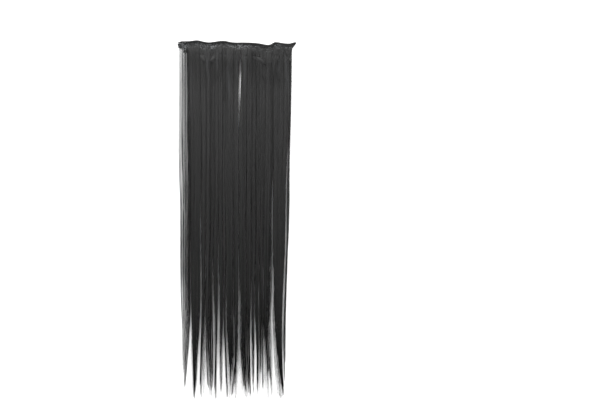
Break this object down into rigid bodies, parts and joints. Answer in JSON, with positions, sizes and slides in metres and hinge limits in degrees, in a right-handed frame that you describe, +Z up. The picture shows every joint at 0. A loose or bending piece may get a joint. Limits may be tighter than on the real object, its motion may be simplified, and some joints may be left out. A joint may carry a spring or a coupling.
{
  "type": "synthetic hair extension",
  "caption": "Wide clip-in weft of long straight black synthetic hair with a rolled, gathered sewn head, parted locks with pointed tips and hidden snap comb clips.",
  "frame": {"origin": "middle of the bounding box's underside, on the surface that the weft lies on", "axes": "+X along the sewn head, +Y from the tips up to the head, +Z up from the surface"},
  "size_m": [0.198, 0.6, 0.009],
  "materials": {
    "rolled_edge": "folded hair and thread, satin",
    "stitched_band": "rows of polyester stitching over hair, matte",
    "synthetic_hair": "straight modacrylic fibre, soft sheen along the strands",
    "clip_steel": "black enamelled spring steel, semi-gloss"
  },
  "bodies": {
    "root": {"edge_roll": "rolled_edge", "weft_track": "stitched_band", "hair_curtain": "synthetic_hair", "clip_1": "clip_steel", "clip_2": "clip_steel", "clip_3": "clip_steel", "clip_4": "clip_steel"}
  },
  "joints": []
}
